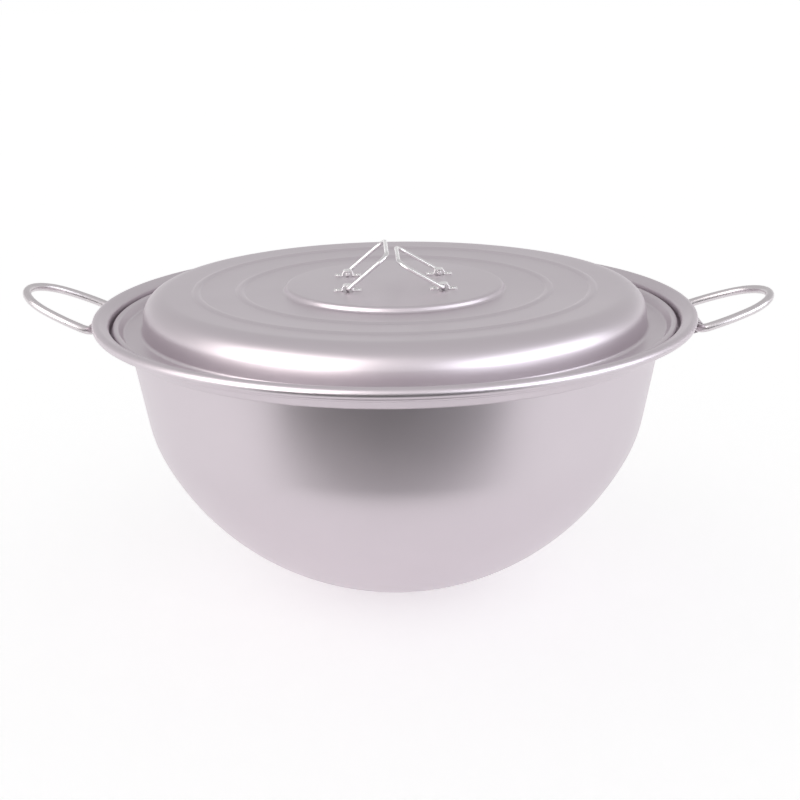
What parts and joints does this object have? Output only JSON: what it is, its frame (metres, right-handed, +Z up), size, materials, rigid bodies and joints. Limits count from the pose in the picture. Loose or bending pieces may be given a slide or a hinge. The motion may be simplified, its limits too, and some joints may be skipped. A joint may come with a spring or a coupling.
{
  "type": "brew kettle",
  "caption": "Round-bottomed spun metal brew kettle with a stepped rolled rim, a recessed domed lid with folding wire bails, and hinged wire side handles.",
  "frame": {"origin": "centre of the resting flat under the bowl", "axes": "+Z up along the kettle's axis, the two side handles on +X and -X, -Y towards the viewer"},
  "size_m": [0.4524, 0.36, 0.2073],
  "materials": {
    "satin_shell": "satin, fine blasted",
    "satin_bracket": "satin",
    "polished_wire": "polished",
    "polished_strap": "polished",
    "rivet": "satin"
  },
  "bodies": {
    "kettle": {"pot_shell": "satin_shell", "handle_bracket_left": "satin_bracket", "handle_bracket_right": "satin_bracket", "bracket_rivets_left": "rivet", "bracket_rivets_right": "rivet"},
    "lid": {"lid_shell": "satin_shell", "bail_strap_left_front": "polished_strap", "bail_strap_left_back": "polished_strap", "bail_strap_right_front": "polished_strap", "bail_strap_right_back": "polished_strap", "strap_rivets_left_front": "rivet", "strap_rivets_left_back": "rivet", "strap_rivets_right_front": "rivet", "strap_rivets_right_back": "rivet"},
    "side_handle_left": {"side_handle_left": "polished_wire"},
    "side_handle_right": {"side_handle_right": "polished_wire"},
    "lid_bail_left": {"lid_bail_left": "polished_wire"},
    "lid_bail_right": {"lid_bail_right": "polished_wire"}
  },
  "joints": [
    {"name": "lid_lift", "type": "slide", "parent": "kettle", "child": "lid", "axis": [0, 0, 1], "range_m": [0, 0.12]},
    {"name": "side_handle_left_hinge", "type": "hinge", "parent": "kettle", "child": "side_handle_left", "pos_m": [-0.179, 0, 0.1624], "axis": [0, 1, 0], "range_deg": [-137, 44]},
    {"name": "side_handle_right_hinge", "type": "hinge", "parent": "kettle", "child": "side_handle_right", "pos_m": [0.179, 0, 0.1624], "axis": [0, -1, 0], "range_deg": [-132, 49]},
    {"name": "lid_bail_left_hinge", "type": "hinge", "parent": "lid", "child": "lid_bail_left", "pos_m": [-0.02814, -0.00182, 0.18655], "axis": [0.0645, -0.9979, 0], "range_deg": [0, 139]},
    {"name": "lid_bail_right_hinge", "type": "hinge", "parent": "lid", "child": "lid_bail_right", "pos_m": [0.02814, 0.00182, 0.18655], "axis": [-0.0645, 0.9979, 0], "range_deg": [0, 149]}
  ]
}
